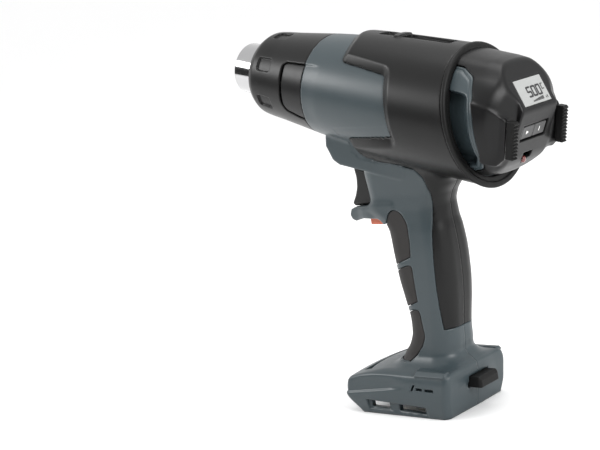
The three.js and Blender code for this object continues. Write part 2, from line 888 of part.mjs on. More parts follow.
place('control_board', 'circuitBoard', box(24, 25.6, -11, 11, 62, 98));
place('terminal_block', 'blackPlastic', box(-16, 18, -19, 19, 22, 27));

const bladeRows = [-14, -5, 5, 14];
bladeRows.forEach((y, number) => {
  place(`contact_blade_${number + 1}`, 'brass', box(-14, 4, y - 0.4, y + 0.4, 14, 21.7));
});

function buildLead(y) {
  const route = new THREE.CatmullRomCurve3([
    new THREE.Vector3(12, y, 27.6),
    new THREE.Vector3(14, y, 45),
    new THREE.Vector3(15, y, 80),
    new THREE.Vector3(8, y, 120),
    new THREE.Vector3(4, y, 135.6),
  ]);
  const section = new THREE.Shape();
  section.absarc(0, 0, 1.2, 0, 2 * Math.PI);
  return solid(new THREE.ExtrudeGeometry(section, {
    steps: 14, curveSegments: 3, extrudePath: route, bevelEnabled: false,
  }));
}

place('battery_lead_positive', 'redWire', buildLead(-5));
place('battery_lead_negative', 'blackRubber', buildLead(5));

// ---------------------------------------------------------------- export

export default assembly;
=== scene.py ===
"""Looks of the cordless hot-air gun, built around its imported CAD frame.

Forms are signed distance fields in millimetres. Each one is meshed by dual contouring, so that
edges stay crisp and fillets stay smooth. The head's pieces are drawn in a head frame whose X axis
is the air axis. A field is negative inside the material.
"""

import json
import math
from functools import reduce
from itertools import product

import bpy
import numpy as np
from mathutils import Matrix, Vector


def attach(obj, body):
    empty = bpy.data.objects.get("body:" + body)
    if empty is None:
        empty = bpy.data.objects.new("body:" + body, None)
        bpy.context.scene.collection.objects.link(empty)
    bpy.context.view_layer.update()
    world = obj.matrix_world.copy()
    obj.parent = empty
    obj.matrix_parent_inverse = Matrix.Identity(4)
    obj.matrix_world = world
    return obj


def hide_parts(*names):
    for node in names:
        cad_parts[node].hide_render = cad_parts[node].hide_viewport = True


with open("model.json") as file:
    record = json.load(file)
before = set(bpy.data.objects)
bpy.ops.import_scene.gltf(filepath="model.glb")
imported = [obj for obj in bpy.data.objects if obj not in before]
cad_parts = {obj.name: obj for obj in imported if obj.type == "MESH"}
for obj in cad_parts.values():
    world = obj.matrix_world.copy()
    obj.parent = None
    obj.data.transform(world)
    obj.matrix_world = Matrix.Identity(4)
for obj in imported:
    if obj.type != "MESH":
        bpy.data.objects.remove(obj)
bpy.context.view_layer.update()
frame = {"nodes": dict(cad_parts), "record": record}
DETAIL = 1.0
MM = 0.001
FAR = 1e9

# ------------------------------------------------------------------ frames and sample points

HEAD_TILT = math.radians(13)
HEAD_X, HEAD_Z = 1.1, 205.4
COS, SIN = math.cos(HEAD_TILT), math.sin(HEAD_TILT)

ROW = Matrix.Identity(4)
HEAD = Matrix.Translation((HEAD_X, 0, HEAD_Z)) @ Matrix.Rotation(HEAD_TILT, 4, "Y")


def panel_frame(x, z, degrees):
    """A frame on the head whose X axis is a panel's outward normal."""
    return HEAD @ Matrix.Translation((x, 0, z)) @ Matrix.Rotation(math.radians(degrees), 4, "Y")


DISPLAY = panel_frame(109.4, 20.15, -36)
KEYS = panel_frame(112.05, -3.8, 15)
CHIN = panel_frame(104.5, -24.5, 42)


class Points:
    """Sample points in the row frame and in the head frame, with their distance off the air axis."""

    def __init__(self, x, y, z):
        self.x, self.y, self.z = x, y, z
        self.w = np.abs(y)
        dx, dz = x - HEAD_X, z - HEAD_Z
        self.hx = COS * dx - SIN * dz
        self.hz = SIN * dx + COS * dz
        self.r = np.hypot(y, self.hz)

    def unrolled(self, radius):
        """Length round the barrel from its top line, the same on both sides."""
        return np.arctan2(self.w, self.hz) * radius

    def local(self, place):
        m = np.array(place.inverted(), np.float32)
        return [m[i, 0] * self.x + m[i, 1] * self.y + m[i, 2] * self.z + m[i, 3] for i in range(3)]


# ------------------------------------------------------------------ field helpers


def smin(a, b, k):
    """Union with a fillet about k wide."""
    h = np.maximum(k - np.abs(a - b), 0) / k
    return np.minimum(a, b) - h * h * k * 0.25


def smax(a, b, k):
    """Intersection with its edge rounded about k wide."""
    return -smin(-a, -b, k)


def least(*fields):
    return reduce(np.minimum, fields)


def most(*fields):
    return reduce(np.maximum, fields)


def fade(value, start, end):
    """0 before start, 1 after end, smooth between."""
    t = np.clip((value - start) / (end - start), 0, 1)
    return t * t * (3 - 2 * t)


def block(u, v, w, centre, half, k=0.01):
    a, b, c = (np.abs(q - m) - h for q, m, h in zip((u, v, w), centre, half))
    return smax(smax(a, b, k), c, k)


def smooth_line(stations):
    """A smooth line through [position, value] stations."""
    xs, ys = np.array(stations, float).T
    h, slope = np.diff(xs), np.diff(ys) / np.diff(xs)
    m = np.concatenate([slope[:1], np.zeros(len(xs) - 2), slope[-1:]])
    same = slope[1:] * slope[:-1] > 0
    m[1:-1][same] = (2 * slope[1:] * slope[:-1])[same] / (slope[1:] + slope[:-1])[same]
    fine = np.linspace(xs[0], xs[-1], 500)
    i = np.clip(np.searchsorted(xs, fine, side="right") - 1, 0, len(h) - 1)
    t = (fine - xs[i]) / h[i]
    value = (
        (2 * t**3 - 3 * t**2 + 1) * ys[i]
        + (t**3 - 2 * t**2 + t) * h[i] * m[i]
        + (3 * t**2 - 2 * t**3) * ys[i + 1]
        + (t**3 - t**2) * h[i] * m[i + 1]
    )
    return lambda at: np.interp(at, fine, value).astype(np.float32)


def rounded(corners, steps=4):
    """A closed outline of [u, v] or [u, v, radius] corners, as points."""
    out = []
    for i, corner in enumerate(corners):
        b = np.array(corner[:2], float)
        if len(corner) < 3:
            out.append(b)
            continue
        a = np.array(corners[i - 1][:2]) - b
        c = np.array(corners[(i + 1) % len(corners)][:2]) - b
        la, lc = np.linalg.norm(a), np.linalg.norm(c)
        turn = math.acos(max(-1, min(1, float(a @ c) / (la * lc))))
        reach = min(corner[2] / math.tan(turn / 2), 0.48 * la, 0.48 * lc)
        p, q = b + a / la * reach, b + c / lc * reach
        for t in np.linspace(0, 1, steps + 1):
            out.append((1 - t) ** 2 * p + 2 * t * (1 - t) * b + t * t * q)
    return np.array(out)


def outline(u, v, points):
    """Signed distance to a closed outline."""
    best = np.full(u.shape, FAR, np.float32)
    inside = np.zeros(u.shape, bool)
    for (au, av), (bu, bv) in zip(points, np.roll(points, -1, axis=0)):
        eu, ev = np.float32(bu - au), np.float32(bv - av)
        if abs(eu) + abs(ev) < 1e-6:
            continue
        pu, pv = u - np.float32(au), v - np.float32(av)
        t = np.clip((pu * eu + pv * ev) / (eu * eu + ev * ev), 0, 1)
        best = np.minimum(best, (pu - eu * t) ** 2 + (pv - ev * t) ** 2)
        inside ^= ((av > v) != (bv > v)) & ((pu * ev < pv * eu) == (ev > 0))
    return np.where(inside, -1, 1) * np.sqrt(best)


# ------------------------------------------------------------------ meshing

COARSE = 5  # fine steps in one step of the first, coarse pass
NEAR = 1.35  # coarse steps from the surface within which the fine grid is sampled
PROBE = 0.03  # reach in mm of the four samples that give a normal
CENTRE_PULL = 0.06  # how strongly a vertex is drawn to the middle of its crossings
CORNERS = list(product((0, 1), repeat=3))


def contour(field, low, high, pitch, place):
    """Dual contouring of a field over a box of the place's own frame: vertices and quads."""
    m = np.array(place, np.float32)

    def value(points):
        x, y, z = (points @ m[:3, :3].T + m[:3, 3]).astype(np.float32).T
        return field(Points(x, y, z)).astype(np.float32)

    def sample(points, share=400_000):
        return np.concatenate([value(points[i : i + share]) for i in range(0, len(points), share)])

    low = np.array(low, np.float32)
    coarse = np.ceil((np.array(high) - low) / (pitch * COARSE)).astype(int) + 1
    corners = np.stack(np.meshgrid(*(np.arange(n) for n in coarse), indexing="ij"), -1)
    rough = sample(low + corners.reshape(-1, 3) * np.float32(pitch * COARSE)).reshape(coarse)
    close = np.abs(rough) < NEAR * COARSE * pitch
    wanted = np.zeros(coarse - 1, bool)
    for i, j, k in CORNERS:
        wanted |= close[i : coarse[0] - 1 + i, j : coarse[1] - 1 + j, k : coarse[2] - 1 + k]
    count = (coarse - 1) * COARSE + 1
    grid = np.ones(count, np.float32)
    spread = rough[:-1, :-1, :-1]
    for axis in range(3):
        spread, wanted = spread.repeat(COARSE, axis), wanted.repeat(COARSE, axis)
    grid[:-1, :-1, :-1] = spread
    mask = np.zeros(count, bool)
    for i, j, k in CORNERS:
        mask[i : count[0] - 1 + i, j : count[1] - 1 + j, k : count[2] - 1 + k] |= wanted
    grid[mask] = sample(low + np.argwhere(mask).astype(np.float32) * np.float32(pitch))

    cells = count - 1
    ids, normals, places, quads = [], [], [], []
    spots = np.array([[1, -1, -1], [-1, -1, 1], [-1, 1, -1], [1, 1, 1]], np.float32)
    for axis in range(3):
        a = np.moveaxis(grid, axis, 0)[:-1]
        b = np.moveaxis(grid, axis, 0)[1:]
        found = np.argwhere((a < 0) != (b < 0))
        fa, fb = a[tuple(found.T)], b[tuple(found.T)]
        edge = np.empty_like(found)
        edge[:, axis] = found[:, 0]
        others = [i for i in range(3) if i != axis]
        edge[:, others[0]], edge[:, others[1]] = found[:, 1], found[:, 2]
        ring = ((axis + 1) % 3, (axis + 2) % 3)
        keep = np.all([(edge[:, i] > 0) & (edge[:, i] < cells[i]) for i in ring], axis=0)
        edge, fa, fb = edge[keep], fa[keep], fb[keep]
        start = low + edge * np.float32(pitch)
        lo, hi = np.zeros(len(edge), np.float32), np.ones(len(edge), np.float32)
        va, vb = fa.copy(), fb.copy()
        for _ in range(2):
            t = np.clip(lo + (hi - lo) * va / (va - vb), 0, 1)
            point = start.copy()
            point[:, axis] += t * pitch
            vt = sample(point)
            left = (vt < 0) == (va < 0)
            lo, va = np.where(left, t, lo), np.where(left, vt, va)
            hi, vb = np.where(left, hi, t), np.where(left, vb, vt)
        slope = sum(s * sample(point + s * PROBE)[:, None] for s in spots)
        slope /= np.maximum(np.linalg.norm(slope, axis=1, keepdims=True), 1e-9)
        four = []
        for du, dv in ((-1, -1), (0, -1), (0, 0), (-1, 0)):
            cell = edge.copy()
            cell[:, ring[0]] += du
            cell[:, ring[1]] += dv
            four.append((cell[:, 0] * cells[1] + cell[:, 1]) * cells[2] + cell[:, 2])
        four = np.stack(four, 1)
        quads.append(np.where((fa < 0)[:, None], four, four[:, ::-1]))
        ids.append(four.ravel())
        normals.append(np.repeat(slope, 4, axis=0))
        places.append(np.repeat(point, 4, axis=0))

    used, cell_of = np.unique(np.concatenate(ids), return_inverse=True)
    n, q = np.concatenate(normals).astype(float), np.concatenate(places).astype(float)
    total = np.bincount(cell_of)

    def gather(weights):
        return np.bincount(cell_of, weights)

    mass = np.stack([gather(q[:, i]) / total for i in range(3)], 1)
    off = np.einsum("ij,ij->i", n, q - mass[cell_of])
    ata = np.empty((len(used), 3, 3))
    for i in range(3):
        for j in range(i, 3):
            ata[:, i, j] = ata[:, j, i] = gather(n[:, i] * n[:, j])
    atb = np.stack([gather(n[:, i] * off) for i in range(3)], 1)
    ata += np.eye(3) * CENTRE_PULL
    spot = mass + np.linalg.solve(ata, atb[..., None])[..., 0]
    cell = np.stack(np.unravel_index(used, tuple(cells)), 1)
    base = low + cell * pitch
    spot = np.clip(spot, base, base + pitch)
    index = np.concatenate([np.searchsorted(used, four) for four in quads])
    spot = spot @ np.array(place, float)[:3, :3].T + np.array(place, float)[:3, 3]
    return spot * MM, index


def finished(obj, body, material, node=None):
    """Gives a piece its material and its body, and hides the CAD node it stands for."""
    bpy.context.scene.collection.objects.link(obj)
    obj.data.materials.append(material)
    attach(obj, body)
    if node:
        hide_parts(node)
    return obj


def shape(name, body, material, field, low, high, pitch, place=ROW, node=None):
    """A piece meshed from its field."""
    vertices, quads = contour(field, low, high, pitch * DETAIL, place)
    mesh = bpy.data.meshes.new(name)
    mesh.from_pydata(vertices.tolist(), [], quads.tolist())
    mesh.validate()
    mesh.shade_smooth()
    obj = bpy.data.objects.new(f"{name}_look", mesh)
    return finished(obj, body, material, node)


def turned(name, body, material, profile, node):
    """A closed [x, radius] profile turned round the air axis."""
    segments, crease = 160, math.radians(35)
    points = np.array(profile, float)
    around = np.linspace(0, 2 * math.pi, segments, endpoint=False)
    m = np.array(HEAD, float)
    rings = np.array(
        [[[x, r * math.sin(a), r * math.cos(a)] for a in around] for x, r in points]
    )
    vertices = (rings.reshape(-1, 3) @ m[:3, :3].T + m[:3, 3]) * MM
    quads = []
    for i in range(len(points)):
        j = (i + 1) % len(points)
        for k in range(segments):
            n = (k + 1) % segments
            quads.append((i * segments + k, j * segments + k, j * segments + n, i * segments + n))
    mesh = bpy.data.meshes.new(name)
    mesh.from_pydata(vertices.tolist(), [], quads)
    mesh.shade_smooth()
    area = sum(
        (points[(i + 1) % len(points)][0] - p[0]) * (points[(i + 1) % len(points)][1] + p[1])
        for i, p in enumerate(points)
    )
    if area < 0:
        mesh.flip_normals()
    mesh.set_sharp_from_angle(angle=crease)
    obj = bpy.data.objects.new(f"{name}_look", mesh)
    return finished(obj, body, material, node)


# ------------------------------------------------------------------ materials


def material(
    name, colour, other, rough, grain=1400, bump=0.03, metal=0, coat=0, shine=0.5, patch=60,
    cells=False,
):
    """A moulded or metal finish: two close tones in patches, uneven gloss and a fine grain."""
    made = bpy.data.materials.new(name)
    made.use_nodes = True
    nodes, links = made.node_tree.nodes, made.node_tree.links
    shader = nodes["Principled BSDF"]
    shader.inputs["Metallic"].default_value = metal
    shader.inputs["Coat Weight"].default_value = coat
    shader.inputs["Coat Roughness"].default_value = 0.12
    shader.inputs["Specular IOR Level"].default_value = shine
    place = nodes.new("ShaderNodeTexCoord")

    def noise(scale, detail):
        texture = nodes.new("ShaderNodeTexNoise")
        texture.inputs["Scale"].default_value = scale
        texture.inputs["Detail"].default_value = detail
        links.new(place.outputs["Object"], texture.inputs["Vector"])
        return texture.outputs["Fac"]

    tone = nodes.new("ShaderNodeMix")
    tone.data_type = "RGBA"
    tone.inputs["A"].default_value = (*colour, 1)
    tone.inputs["B"].default_value = (*other, 1)
    links.new(noise(patch, 4), tone.inputs["Factor"])
    links.new(tone.outputs["Result"], shader.inputs["Base Color"])
    gloss = nodes.new("ShaderNodeMapRange")
    gloss.inputs["To Min"].default_value = rough[0]
    gloss.inputs["To Max"].default_value = rough[1]
    links.new(noise(patch * 6, 3), gloss.inputs["Value"])
    links.new(gloss.outputs["Result"], shader.inputs["Roughness"])
    if cells:
        texture = nodes.new("ShaderNodeTexVoronoi")
        texture.inputs["Scale"].default_value = grain
        links.new(place.outputs["Object"], texture.inputs["Vector"])
        height = texture.outputs["Distance"]
    else:
        height = noise(grain, 2)
    relief = nodes.new("ShaderNodeBump")
    relief.inputs["Strength"].default_value = 0.35
    relief.inputs["Distance"].default_value = bump * MM
    links.new(height, relief.inputs["Height"])
    links.new(relief.outputs["Normal"], shader.inputs["Normal"])
    return made


GREY = material(
    "grey_plastic", (0.032, 0.045, 0.051), (0.039, 0.053, 0.059), (0.33, 0.41), shine=0.4
)
BLACK = material(
    "black_overmould", (0.0040, 0.0040, 0.0040), (0.0055, 0.0055, 0.0055), (0.33, 0.4), shine=0.24
)
RUBBER = material(
    "black_rubber", (0.0040, 0.0040, 0.0040), (0.0055, 0.0055, 0.0055), (0.44, 0.54), grain=2200,
    shine=0.2,
)
CAP = material(
    "black_plastic", (0.0040, 0.0040, 0.0042), (0.0055, 0.0055, 0.0058), (0.32, 0.4), shine=0.24
)
KEY = material("key_plastic", (0.040, 0.040, 0.041), (0.050, 0.050, 0.051), (0.42, 0.5))
PAD = material(
    "soft_pad", (0.017, 0.0155, 0.015), (0.023, 0.021, 0.020), (0.55, 0.66), shine=0.3,
    grain=1700, bump=0.06, cells=True,
)
TRIGGER = material(
    "trigger_plastic", (0.009, 0.009, 0.009), (0.012, 0.012, 0.012), (0.42, 0.5), shine=0.3
)
CHROME = material(
    "outlet_steel", (0.42, 0.42, 0.43), (0.50, 0.50, 0.50), (0.08, 0.14), metal=1, bump=0.004
)
STEEL = material(
    "screw_steel", (0.33, 0.34, 0.35), (0.43, 0.43, 0.44), (0.28, 0.4), metal=1, bump=0.01
)
ORANGE = material(
    "orange_plastic", (0.52, 0.115, 0.055), (0.60, 0.150, 0.080), (0.38, 0.48), grain=1800
)
GLASS = material(
    "display_glass", (0.30, 0.305, 0.30), (0.33, 0.335, 0.33), (0.2, 0.26), shine=0.25, bump=0.003
)
INK = material("display_ink", (0.010, 0.010, 0.011), (0.018, 0.018, 0.019), (0.3, 0.4))
ICON = material("key_print", (0.72, 0.72, 0.70), (0.80, 0.80, 0.78), (0.4, 0.5))
LENS = material("red_lens", (0.10, 0.012, 0.010), (0.14, 0.016, 0.013), (0.16, 0.24), coat=0.4)
MICA = material("mica", (0.40, 0.27, 0.11), (0.52, 0.37, 0.18), (0.3, 0.5), patch=300)
CERAMIC = material("ceramic", (0.66, 0.61, 0.50), (0.74, 0.70, 0.60), (0.7, 0.85), bump=0.08)
BOARD = material(
    "circuit_board", (0.010, 0.085, 0.035), (0.018, 0.13, 0.055), (0.3, 0.45), patch=900
)
BRASS = material("brass", (0.60, 0.38, 0.10), (0.68, 0.46, 0.15), (0.2, 0.32), metal=1, bump=0.008)
RED_WIRE = material("red_wire", (0.30, 0.012, 0.010), (0.38, 0.02, 0.015), (0.4, 0.5))
BLACK_WIRE = material("black_wire", (0.012, 0.012, 0.012), (0.02, 0.02, 0.02), (0.4, 0.5))
FLOOR = material(
    "pale_floor", (0.93, 0.93, 0.93), (0.94, 0.94, 0.94), (0.7, 0.8), patch=3, bump=0.0, shine=0.2
)
SCREEN = material("dark_screen", (0.010, 0.010, 0.010), (0.014, 0.014, 0.014), (0.7, 0.8), patch=3)

BY_SLOT = {
    "grey_plastic": GREY, "black_rubber": RUBBER, "soft_pad": PAD, "screw_steel": STEEL,
    "black_plastic": CAP, "trigger_plastic": TRIGGER, "outlet_steel": CHROME, "mica": MICA,
    "ceramic": CERAMIC, "display_glass": GLASS, "red_lens": LENS, "circuit_board": BOARD,
    "orange_plastic": ORANGE, "brass": BRASS, "red_wire": RED_WIRE, "black_wire": BLACK_WIRE,
}

# ------------------------------------------------------------------ camera

# The view of the photograph: where the camera stands in metres, and its right and up directions.
CAMERA_AT = (0.5988, -0.7171, 0.2941)
CAMERA_RIGHT = (0.7294, 0.6630, -0.1684)
CAMERA_UP = (0.0054, 0.2406, 0.9706)
FOCAL_LENGTH, SENSOR_WIDTH = 87.72, 36

camera = bpy.data.objects.new("camera", bpy.data.cameras.new("camera"))
bpy.context.scene.collection.objects.link(camera)
camera.data.lens = FOCAL_LENGTH
camera.data.sensor_width = SENSOR_WIDTH
right, up = Vector(CAMERA_RIGHT), Vector(CAMERA_UP)
back = right.cross(up).normalized()
up = back.cross(right).normalized()
right = up.cross(back)
turn = Matrix((right, up, back)).transposed().to_4x4()
camera.matrix_world = Matrix.Translation(CAMERA_AT) @ turn
bpy.context.scene.camera = camera

# ------------------------------------------------------------------ grip, neck, hook and shoe

GAP = 0.3
SKIN = 1.9
SHELL_WALL = 2.4
BARREL_FRONT = -43.6
NECK_HALF = 19.4
SHOE_CROWN = 0.0016  # how fast the shoe's top falls off to its sides
HOOD_FRONT, HOOD_REAR = 75.7, 79.0
HOOD_LEAN = math.radians(16)
barrel_radius = smooth_line([[-43.6, 33.3], [-25, 34.9], [0, 36.2], [36, 37.2], [92, 38.4]])

GRIP = [  # height, front, back, half width
    [24, -12, 37, 22], [33, -9, 34.5, 20.5], [38, -6.5, 33.5, 19], [44, -2.2, 34.6, 18.2],
    [52, 0.8, 35.2, 18], [62, 1.6, 36.8, 18.3], [74, 0.2, 38.8, 18.8], [88, -1.9, 40.4, 19],
    [104, -3.2, 41, 18.8], [118, -4.6, 40.4, 18], [126, -9, 39.6, 17], [134, -18, 39.6, 16.4],
    [141, -18, 42, 16.4], [148, -18, 47, 17], [156, -18, 50, 18], [180, -16, 46, 20],
]
grip_front, grip_back, grip_half = (
    smooth_line([[row[0], row[i]] for row in GRIP]) for i in (1, 2, 3)
)


def level_section(p, front, back, half, front_round, back_round):
    """A level section with rounded corners."""
    middle, reach = (front + back) / 2, (back - front) / 2
    radius = np.where(p.x < middle, front_round, back_round)
    a = np.abs(p.x - middle) - reach + radius
    b = p.w - half + radius
    return least(most(a, b), 0) + np.hypot(most(a, 0), most(b, 0)) - radius


def grip(p):
    """The grip's outer surface, which the palm panel and the finger pads share."""
    side = level_section(p, grip_front(p.z), grip_back(p.z), grip_half(p.z), 12, 14)
    return most(side, 24 - p.z, p.z - 180)


def behind(p, at):
    """Distance behind the leaning plane that crosses the air axis at a position."""
    return (p.hx - at) * math.cos(HOOD_LEAN) + p.hz * math.sin(HOOD_LEAN)


def barrel(p, offset=0.0):
    wall = p.r - barrel_radius(p.hx) - offset
    return smax(wall, most(BARREL_FRONT - p.hx, behind(p, HOOD_FRONT - 0.2)), 0.7)


NECK = rounded([
    [-33.8, -30], [-33, -36.5, 3], [-27, -44.4, 3], [-21.5, -46.6, 4], [30, -47.2, 5], [30, -26],
    [-30, -26],
])


def neck(p):
    return smax(outline(p.hx, p.hz, NECK), p.w - NECK_HALF + 1.6 * fade(p.hx, -4, 20), 1.0)


HOOK = rounded([
    [4, 135.8], [-18, 135.6, 8], [-30, 135.1, 8], [-36.4, 132.8, 2], [-38.3, 129, 2],
    [-36.6, 125.8, 2], [-33.4, 124.7, 2], [-28.8, 125.9, 4], [-24, 127, 6], [-8, 127.2, 6],
    [-2, 122, 4], [4, 120],
])
hook_half = smooth_line([
    [-40, 8.6], [-30, 10.5], [-22, 13.3], [-16, 14.6], [-8, 15.0], [6, 15.0],
])


def hook(p):
    return smax(outline(p.x, p.z, HOOK), p.w - hook_half(p.x), 2.2)


shoe_half = smooth_line([[0, 30.8], [2, 31.4], [12, 33.4], [22, 33.0], [27, 31.8], [31.2, 26.8]])
shoe_front = smooth_line([[0, -38.2], [2, -39.6], [11.5, -47.4], [13.4, -48], [22, -46.4], [31, -41]])
shoe_back = smooth_line([[0, 35.5], [8, 37.4], [13, 38.2], [25, 40.2], [29.5, 40.2], [31.2, 38]])
shoe_top = smooth_line([[-48, 22.6], [-42, 25], [-28, 28.6], [-12, 30.9], [0, 31.2], [42, 31.2]])


def shoe(p):
    """The battery shoe's outer form: a groove and a shelf run round its front and fade behind."""
    line = 13.4 + 0.127 * (p.x + 48)
    along = 1 - fade(p.x, -12, 8)
    groove = 0.6 * np.exp(-(((p.z - line) / 0.75) ** 2)) * along
    shelf = 1.2 * fade(p.z - line, -0.5, 1) * along * (1 - fade(p.z, 22, 28))
    bulge = 0.5 * np.exp(-((p.y / 16) ** 2))
    side = level_section(
        p, shoe_front(p.z), shoe_back(p.z) + bulge, shoe_half(p.z), 5, 4.6
    ) + groove + shelf
    body = smax(most(side, -p.z), p.z - shoe_top(p.x) + SHOE_CROWN * p.w**2 - 0.3, 3)
    bar = most(np.abs(p.x - 26) - 12, p.z - 30.9, 28 - p.z, (p.w + p.z - 60.5) * 0.707, 26 - p.w)
    return smin(body, bar, 0.5)


# Each housing screw's place on the right side, and how far out its bore reaches.
SCREWS = [(22, 54, 15), (24, 108, 15), (6, 166, 15), (-24, 25.4, 24), (31, 25.4, 24)]
SCREW_HEAD = 7  # depth of the head's bore below its mouth

# ------------------------------------------------------------------ zones on the skin

COVER_UNROLL = 38.0
DEG = math.radians(1) * COVER_UNROLL
COVER_EDGE = rounded([
    [-21.5, -20], [-20.8, 8 * DEG, 12], [-16.6, 24 * DEG, 12], [-14, 49 * DEG, 4.5],
    [23.2, 55.5 * DEG, 3], [27.3, 80 * DEG, 30], [32, 114.5 * DEG, 2.2], [12.5, 123 * DEG, 20],
    [-8, 133 * DEG, 6], [-12.3, 158 * DEG, 10], [-12.5, 130], [100, 130], [100, -20],
])
PALM = rounded([
    [30.4, 54.5], [70, 54.5], [70, 190], [-22, 190], [-16.5, 173.2, 3], [-13, 168.4, 3],
    [10, 164.6, 12], [28, 162, 12], [35.6, 153.5, 10], [36.6, 144, 14], [35.1, 134, 20],
    [34, 120, 30], [33.2, 104, 30], [32.2, 88, 30], [31.3, 72, 30],
])
COVER_STEP = 3.9


def cover_zone(p):
    return outline(p.hx, p.unrolled(COVER_UNROLL), COVER_EDGE)


def cover_band(p, zone):
    """The part of the zone that lies near the barrel."""
    return most(zone, p.r - barrel_radius(p.hx) - COVER_STEP - 1)


def palm_zone(p):
    """The black panel on the grip's back: its side edge lies where the section turns."""
    return outline(p.x, p.z, PALM)


PAD_BACK = 15.6


def sloped(x, height):
    """Height at x of a pad edge that meets the pad's rear end at the given height."""
    return [x, height + 0.38 * (x - PAD_BACK)]


PADS = {
    "finger_pad_lower": [
        [-22, 26], [2, 32.6, 4], [8.5, 38, 6], [13.5, 44, 8], [16.6, 50, 8], [15.9, 61, 8],
        [PAD_BACK, 68.4, 3], sloped(9.5, 69.8), sloped(-22, 69.8),
    ],
    "finger_pad_middle": [
        sloped(-22, 73.8), sloped(9.5, 73.8), [PAD_BACK, 73.8, 1.2], [PAD_BACK, 98, 3],
        sloped(9.5, 99), sloped(-22, 99),
    ],
    "finger_pad_upper": [
        sloped(-22, 103.2), sloped(9.5, 103.2), [PAD_BACK, 103.2, 1.2], [16.6, 113, 14],
        [15.8, 124, 10], [11.5, 131.5, 8], [5.5, 133.6, 4], [1.5, 131, 3], [-1.5, 124, 4],
        [-22, 121],
    ],
}
PAD_OUTLINES = {name: rounded(corners) for name, corners in PADS.items()}


def shell_form(p):
    """The housing's outer skin before its cut-outs."""
    body = smin(grip(p), neck(p), 1.5)
    body = smin(body, hook(p), 5)
    body = smin(body, shoe(p), 8)
    # The barrel's flanks are dished just behind the guard's notch.
    arc = np.degrees(np.arctan2(p.w, p.hz))
    dish = fade(arc, 56.5, 58.5) * (1 - fade(arc, 108, 128)) * (1 - fade(p.hx, -41, -29))
    return smin(body, barrel(p, -0.7 * dish), 2)


def bay(p):
    """The open battery bay under the shoe."""
    low = smax(level_section(p, -70, 31, 27.2, 2, 3), p.z - 21, 0.6)
    roof = most(level_section(p, -35, 34, 23.5, 2, 3), p.z - 27.6)
    return least(low, roof)


def screw_holes(p):
    bores = []
    for x, z, reach in SCREWS:
        off = np.hypot(p.x - x, p.z - z)
        bores.append(most(off - 1.75, -8 - p.y))
        bores.append(most(off - 3, reach - SCREW_HEAD - p.y))
    return least(*bores)


def shell(p):
    skin = shell_form(p)
    core = grip(p) + SKIN + GAP
    pads = least(*(outline(p.x, p.z, points) for points in PAD_OUTLINES.values()))
    low_limit = grip(p) - 0.6 - 10 * fade(p.z, 44, 50)
    solid = smax(skin, -most(pads - GAP, -core, low_limit), 0.4)
    annulus = cover_band(p, cover_zone(p)) - GAP
    kept = least(core, neck(p), barrel(p))
    solid = smax(solid, -most(least(annulus, palm_zone(p) - GAP), -kept), 0.4)
    bore = p.r - np.interp(p.hx, [-24, -22, 97], [30.4, 32.2, 35.2]).astype(np.float32)
    cavity = least(
        bore, core + SHELL_WALL, most(neck(p) + SHELL_WALL, -10.5 - p.x), bay(p)
    )
    rails = block(p.x, p.w, p.z, (-4, 26.5, 11.5), (34, 2.5, 1.5), 0.8)
    bosses = least(*(np.hypot(p.x - x, p.z - z) - 3.9 for x, z, _ in SCREWS))
    hollow = smax(solid, -cavity, 0.5)
    hollow = least(hollow, rails, most(bosses, solid, -bore, p.w - 24))
    return smax(hollow, -cut_outs(p), 0.35)


def cut_outs(p):
    """Slots, plain marks and seats cut into the housing."""
    # Battery slots on the shoe's flanks, in one shallow frame.
    slant = p.z + 0.047 * (p.x + 18)
    recess = block(p.x, slant, p.w, (-4.2, 6.2, 45), (24.2, 3.3, 45 - 30.9), 0.3)
    front = block(p.x, slant, p.w, (-18.5, 6.3, 36), (7.6, 2.1, 9), 0.3)
    rear = block(p.x, slant, p.w, (7.8, 6.3, 36), (10.9, 2.1, 9), 0.3)
    marks = least(
        block(p.x, p.z, p.w, (17, 19.6, 40), (2.7, 0.95, 9.8), 0.2),
        block(p.x, p.z, p.w, (25, 19.3, 40), (3.6, 0.95, 9.8), 0.2),
        block(p.x - 0.62 * (p.z - 20), p.z, p.w, (11.8, 20.3, 40), (0.9, 2.2, 9.8), 0.2),
    )
    slot_top = np.interp(p.x, [-18, -12, -4], [160.6, 159.2, 157.7]).astype(np.float32)
    trigger_slot = most(p.w - 9, 134.2 - p.z, p.z - slot_top, p.x + 4)
    lock_slot = block(p.x, p.y, p.z, (-18.4, 0, 124.8), (5.7, 6.4, 6.8), 0.5)
    foot_seat = block(p.x, p.y, p.z, (47, 0, 18.85), (13, 10.3, 3.95), 0.3)
    return least(recess, front, rear, marks, trigger_slot, lock_slot, foot_seat)


def halves(name, body, finish, field, low, high, pitch, place, seam):
    """A piece split on the middle plane, with a fine seam and screw bores on its right half."""

    def left(p):
        return smax(field(p), p.y + seam, 4 * seam)

    def right_half(p):
        return smax(most(field(p), -screw_holes(p)), seam - p.y, 4 * seam)

    spans = {
        "left": (left, (low[0], -high[1], low[2]), (high[0], 1.5, high[2])),
        "right": (right_half, (low[0], -1.5, low[2]), (high[0], high[1], high[2])),
    }
    for side, (half, start, end) in spans.items():
        shape(f"{name}_{side}", body, finish, half, start, end, pitch, place,
              node=f"{name}_{side}")


halves(
    "shell", "housing", GREY, shell, (-52, 0, -2), (81, 39.5, 252), 0.91, ROW,
    0.05,
)

# ------------------------------------------------------------------ black cover


